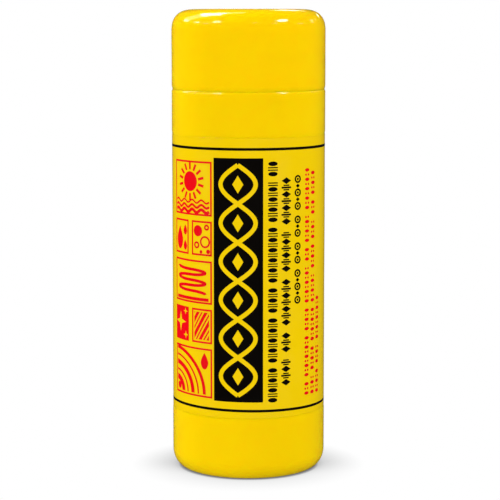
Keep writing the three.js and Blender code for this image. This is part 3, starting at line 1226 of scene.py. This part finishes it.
class CANISTER_OT_stage(Operator):
    """Set up the floor, the white surroundings, the lamps and the camera"""

    bl_idname = "canister.stage"
    bl_label = "Stage"

    # Each lamp's azimuth from the camera's side and elevation in degrees, its width and height in
    # metres, and its radiance.
    lamps = {
        "key_left": (-122, 61.3, 0.50, 0.41, 12.0),
        "tail_low": (-115, 27.5, 0.30, 0.17, 5.5),
        "tail_left": (-115, 42.0, 0.42, 0.40, 1.8),
        "key_right": (59.5, 42.0, 0.32, 0.28, 15.0),
    }
    # Lamps that are only seen in the plastic.
    glints = {
        "tail_top": (-156, 70.5, 0.28, 0.22, 1.5),
        "left_high": (-52.3, 35.6, 0.235, 0.13, 17.0),
        "left_low": (-43, 25.8, 0.18, 0.05, 5.0),
        "left_side": (-69.5, 25.5, 0.13, 0.06, 7.0),
        "left_back": (-88, 28.5, 0.22, 0.06, 17.0),
        "front": (11, 33, 0.19, 0.06, 2.0),
        "right_low": (42, 29.5, 0.17, 0.05, 6.0),
        "right_side": (85.5, 22.8, 0.23, 0.06, 6.0),
        "right_back": (117.5, 27, 0.15, 0.09, 3.0),
        "right_under": (115.7, 21.5, 0.20, 0.04, 2.4),
        "right_turn": (132, 25, 0.22, 0.035, 1.6),
        "right_rear": (157, 21.5, 0.20, 0.045, 4.0),
        "rear": (170.9, 33, 0.14, 0.20, 3.6),
    }
    # Lamps that only soften the shade.
    fills = {
        "fill_left": (-66, -5, 0.80, 0.80, 3.9),
        "fill_front": (-5, -5, 0.80, 0.80, 0.6),
        "fill_right": (47, -8, 0.80, 0.80, 2.1),
    }

    def execute(self, context):
        s = context.scene.stage_settings
        context.scene.view_settings.view_transform = "Standard"
        self.add_floor(context, s)
        self.light_world(context, s)
        for name, measures in {**self.lamps, **self.glints, **self.fills}.items():
            lamp = self.add_lamp(context, name, s.lamp_distance, *measures)
            lamp.visible_diffuse = name not in self.glints
            lamp.visible_glossy = name not in self.fills
        camera = bpy.data.objects.new("camera", bpy.data.cameras.new("camera"))
        camera.data.lens = s.lens
        camera.location = s.camera_place
        camera.rotation_euler = (s.camera_tilt, 0, 0)
        context.scene.collection.objects.link(camera)
        context.scene.camera = camera
        return {"FINISHED"}

    def add_floor(self, context, s):
        bm = bmesh.new()
        bmesh.ops.create_circle(bm, cap_ends=True, radius=s.floor_radius, segments=96)
        bmesh.ops.translate(bm, verts=bm.verts, vec=(0, 0, -s.floor_drop))
        mesh = bpy.data.meshes.new("floor")
        bm.to_mesh(mesh)
        bm.free()
        mesh.materials.append(self.floor_material(s))
        floor = bpy.data.objects.new("floor", mesh)
        floor.visible_glossy = False
        floor.visible_diffuse = False
        floor.visible_shadow = False
        context.scene.collection.objects.link(floor)

    def floor_material(self, s):
        """White to the camera, with a soft contact shadow painted into that glow from ambient
        occlusion, and see-through from below.
        """
        material = bpy.data.materials.new("pale_floor")
        material.use_nodes = True
        tree = material.node_tree
        tree.nodes.clear()
        where = tree.nodes.new("ShaderNodeTexCoord")
        split = add_node(tree, "ShaderNodeSeparateXYZ", {"Vector": where.outputs["Object"]})
        behind = split.outputs["Y"]
        depth = add_range(tree, behind, -s.shade_front, s.shade_back, s.front_depth, s.shadow_depth)
        soft = self.add_occlusion(tree, s.shadow_reach, depth)
        close = self.add_occlusion(tree, s.contact_reach, s.contact_depth)
        # Painted shadow: the glow that the camera sees is darkened by ambient occlusion, deeper behind
        # than in front.
        glow_with_painted_shadow = add_node(tree, "ShaderNodeEmission", {"Color": add_math(tree, "MULTIPLY", soft, close)})

        lit = add_node(tree, "ShaderNodeBsdfDiffuse", {"Color": (*s.floor_colour, 1)})
        path = tree.nodes.new("ShaderNodeLightPath")
        seen = self.mix_shaders(tree, path.outputs["Is Camera Ray"], lit, glow_with_painted_shadow)
        side = tree.nodes.new("ShaderNodeNewGeometry")
        clear = tree.nodes.new("ShaderNodeBsdfTransparent")
        both = self.mix_shaders(tree, side.outputs["Backfacing"], seen, clear)
        add_node(tree, "ShaderNodeOutputMaterial", {"Surface": both.outputs[0]})
        return material

    def add_occlusion(self, tree, reach, depth):
        """How much light a point keeps beside things closer than reach, down to 1 - depth."""
        near = add_node(tree, "ShaderNodeAmbientOcclusion", {"Distance": reach})
        near.samples = 16
        shade = add_math(tree, "SUBTRACT", 1.0, near.outputs["AO"])
        return add_math(tree, "SUBTRACT", 1.0, add_math(tree, "MULTIPLY", shade, depth))

    def mix_shaders(self, tree, factor, first, second):
        """The first shader where the factor is 0, and the second where it is 1."""
        inputs = {0: factor, 1: first.outputs[0], 2: second.outputs[0]}
        return add_node(tree, "ShaderNodeMixShader", inputs)

    def light_world(self, context, s):
        """White where the camera looks, and a plain soft light for the rest, weaker from below."""
        world = bpy.data.worlds.new("studio")
        world.use_nodes = True
        context.scene.world = world
        tree = world.node_tree
        where = tree.nodes.new("ShaderNodeTexCoord")
        split = add_node(tree, "ShaderNodeSeparateXYZ", {"Vector": where.outputs["Generated"]})
        down, aside = -0.95, -0.35  # heights on the unit sphere that the light from below fades between
        above = add_range(tree, split.outputs["Z"], down, aside, s.under_level, s.ambient_level)
        near, far = math.cos(s.backdrop_half), math.cos(2 * s.backdrop_half)
        behind = add_range(tree, split.outputs["Y"], far, near, s.mirror_level, 1.0)

        path = tree.nodes.new("ShaderNodeLightPath")
        straight, through = path.outputs["Is Camera Ray"], path.outputs["Is Transmission Ray"]
        seen = add_math(tree, "MAXIMUM", straight, through)
        around = add_range(tree, path.outputs["Is Glossy Ray"], 0.0, 1.0, above, behind)
        level = add_math(tree, "MAXIMUM", seen, around)
        feed(tree, tree.nodes["Background"], {"Color": (1, 1, 1, 1), "Strength": level})

    def add_lamp(self, context, name, distance, azimuth, elevation, width, height, radiance):
        """A rectangular lamp that faces the object."""
        lamp = bpy.data.lights.new(name, "AREA")
        lamp.shape = "RECTANGLE"
        lamp.size, lamp.size_y = width, height
        lamp.energy = radiance * math.pi * width * height
        turn, rise = math.radians(azimuth), math.radians(elevation)
        level = math.cos(rise)
        away = Vector((math.sin(turn) * level, -math.cos(turn) * level, math.sin(rise)))
        piece = bpy.data.objects.new(name, lamp)
        piece.location = Vector((0, 0, cap_high.z / 2)) + distance * away
        piece.rotation_euler = away.to_track_quat("Z", "Y").to_euler()
        piece.visible_camera = False
        context.scene.collection.objects.link(piece)
        return piece


class StageSettings(PropertyGroup):
    """Camera, floor and light."""

    camera_place: FloatVectorProperty(
        name="Camera place",
        description="Where the camera stands",
        default=(0.00073, -0.929436, 0.2245),
        subtype="TRANSLATION",
        unit="LENGTH",
    )
    camera_tilt: tilt("Camera tilt", "0 looks straight down and 90 degrees level", math.radians(82.831))
    lens: FloatProperty(name="Lens", description="Focal length in millimetres", default=136.6, min=1)
    floor_radius: length("Floor radius", "Radius of the round floor", 0.35)
    floor_drop: length("Floor drop", "Gap that keeps the floor clear of the base", 0.02 * MM)
    floor_colour: colour("Floor", "Colour of the floor", (0.72, 0.72, 0.72))
    # The floor's shadow and the darker line under the base are painted shade, drawn into the floor's
    # glow from ambient occlusion.
    shadow_reach: length("Shadow reach", "How far the contact shadow reaches", 22 * MM)
    shadow_depth: ratio("Shadow depth", "How dark it is at its darkest, from 0 to 1", 0.75)
    front_depth: ratio("Front depth", "The same in front, towards the light", 0.32)
    shade_front: length("Shade front", "How far in front of the middle the shadow is lightest", 26 * MM)
    shade_back: length("Shade back", "How far behind the middle it is at its darkest", 6 * MM)
    contact_reach: length("Contact reach", "How far the darker line under the base reaches", 1.5 * MM)
    contact_depth: ratio("Contact depth", "How dark that line is at its darkest, from 0 to 1", 0.8)
    lamp_distance: length("Lamp distance", "From the object's middle to the lamps", 1.2)
    ambient_level: ratio("Ambient level", "Light from all round", 0.665)
    under_level: ratio("Under level", "Light from straight below", 0.2)
    mirror_level: ratio("Mirror level", "Brightness in reflections of all but the backdrop", 0.035)
    backdrop_half: tilt("Backdrop", "Half the angle that it takes up in reflections", math.radians(3.5))


class CANISTER_PT_panel(Panel):
    """Lists the pieces with their sizes and colours"""

    bl_label = "Chamois canister"
    bl_idname = "CANISTER_PT_panel"
    bl_space_type = "VIEW_3D"
    bl_region_type = "UI"
    bl_category = "Canister"

    def draw(self, context):
        for operator in operators:
            self.layout.operator(operator.bl_idname)
        for name, group in settings.items():
            box = self.layout.box()
            box.label(text=group.__doc__)
            for field in group.__annotations__:
                box.prop(getattr(context.scene, name), field)


operators = (
    CANISTER_OT_body,
    CANISTER_OT_cap,
    CANISTER_OT_film,
    CANISTER_OT_rings,
    CANISTER_OT_panel,
    CANISTER_OT_tiles,
    CANISTER_OT_rows,
    CANISTER_OT_cloth,
    CANISTER_OT_stage,
)

settings = {
    "canister_sizes": CanisterSizes,
    "cap_sizes": CapSizes,
    "film_sizes": FilmSizes,
    "cloth_sizes": ClothSizes,
    "canister_finishes": Finishes,
    "stage_settings": StageSettings,
}


def register():
    for cls in (*settings.values(), *operators, CANISTER_PT_panel):
        bpy.utils.register_class(cls)
    for name, group in settings.items():
        setattr(bpy.types.Scene, name, PointerProperty(type=group))


def unregister():
    for name in settings:
        delattr(bpy.types.Scene, name)
    for cls in (CANISTER_PT_panel, *reversed(operators), *reversed(settings.values())):
        bpy.utils.unregister_class(cls)


def main():
    register()
    for make in (
        bpy.ops.canister.body,
        bpy.ops.canister.cap,
        bpy.ops.canister.film,
        bpy.ops.canister.rings,
        bpy.ops.canister.panel,
        bpy.ops.canister.tiles,
        bpy.ops.canister.rows,
        bpy.ops.canister.cloth,
        bpy.ops.canister.stage,
    ):
        make()


if __name__ == "__main__":
    main()
